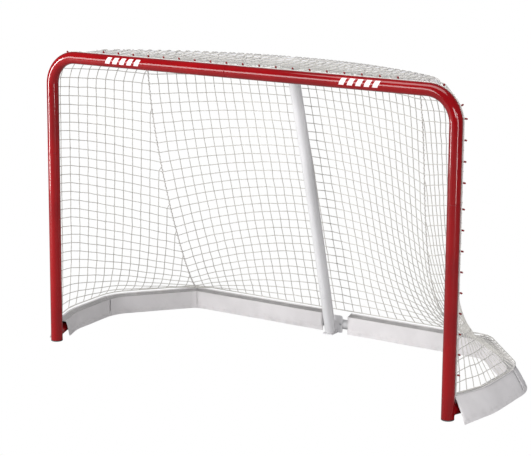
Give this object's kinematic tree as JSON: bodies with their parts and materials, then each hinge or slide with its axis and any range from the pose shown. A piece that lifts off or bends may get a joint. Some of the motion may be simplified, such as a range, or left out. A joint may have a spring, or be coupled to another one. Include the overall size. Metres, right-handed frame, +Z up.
{
  "type": "ice hockey goal",
  "caption": "Steel ice hockey goal with bent front frame, rounded rear base, top shelf, centre pole, laced square-mesh net and canvas base skirts.",
  "frame": {"origin": "on the floor, under the middle of the goal's bounding box", "axes": "+Z up, -Y is the open front that shots come from, +X to the right of a player who looks into the goal"},
  "size_m": [2.126, 0.8815, 1.28],
  "materials": {
    "front_tube": "gloss red powder coat on steel tube",
    "rear_tube": "satin light grey powder coat on steel tube",
    "joint_steel": "zinc plated",
    "foot_plug": "matt black moulded",
    "net": "white knotted polyester twine",
    "cord": "white braided cord",
    "skirt": "coated white canvas"
  },
  "bodies": {
    "root": {"left_corner_tube": "front_tube", "left_lower_post": "front_tube", "left_post_sleeve": "joint_steel", "left_foot_plug": "foot_plug", "left_base_tube": "rear_tube", "left_base_sleeve": "joint_steel", "left_shelf_tube": "rear_tube", "left_shelf_sleeve": "joint_steel", "net_left_side": "net", "left_seam_cord": "cord", "left_base_lacing": "cord", "left_post_upper_screw": "joint_steel", "left_post_lower_screw": "joint_steel", "left_base_screw": "joint_steel", "left_shelf_screw": "joint_steel", "crossbar_left_screw": "joint_steel", "pole_top_left_screw": "joint_steel", "pole_foot_left_bolt": "joint_steel", "left_side_skirt": "skirt", "left_corner_skirt": "skirt", "left_rear_skirt": "skirt", "right_corner_tube": "front_tube", "right_lower_post": "front_tube", "right_post_sleeve": "joint_steel", "right_foot_plug": "foot_plug", "right_base_tube": "rear_tube", "right_base_sleeve": "joint_steel", "right_shelf_tube": "rear_tube", "right_shelf_sleeve": "joint_steel", "net_right_side": "net", "right_seam_cord": "cord", "right_base_lacing": "cord", "right_post_upper_screw": "joint_steel", "right_post_lower_screw": "joint_steel", "right_base_screw": "joint_steel", "right_shelf_screw": "joint_steel", "crossbar_right_screw": "joint_steel", "pole_top_right_screw": "joint_steel", "pole_foot_right_bolt": "joint_steel", "right_side_skirt": "skirt", "right_corner_skirt": "skirt", "right_rear_skirt": "skirt", "crossbar_sleeve": "joint_steel", "rear_base_sleeve": "joint_steel", "rear_shelf_sleeve": "joint_steel", "centre_pole": "rear_tube", "pole_top_saddle": "rear_tube", "pole_foot_bracket": "rear_tube", "net_back": "net", "net_top": "net", "border_rope": "cord"}
  },
  "joints": []
}
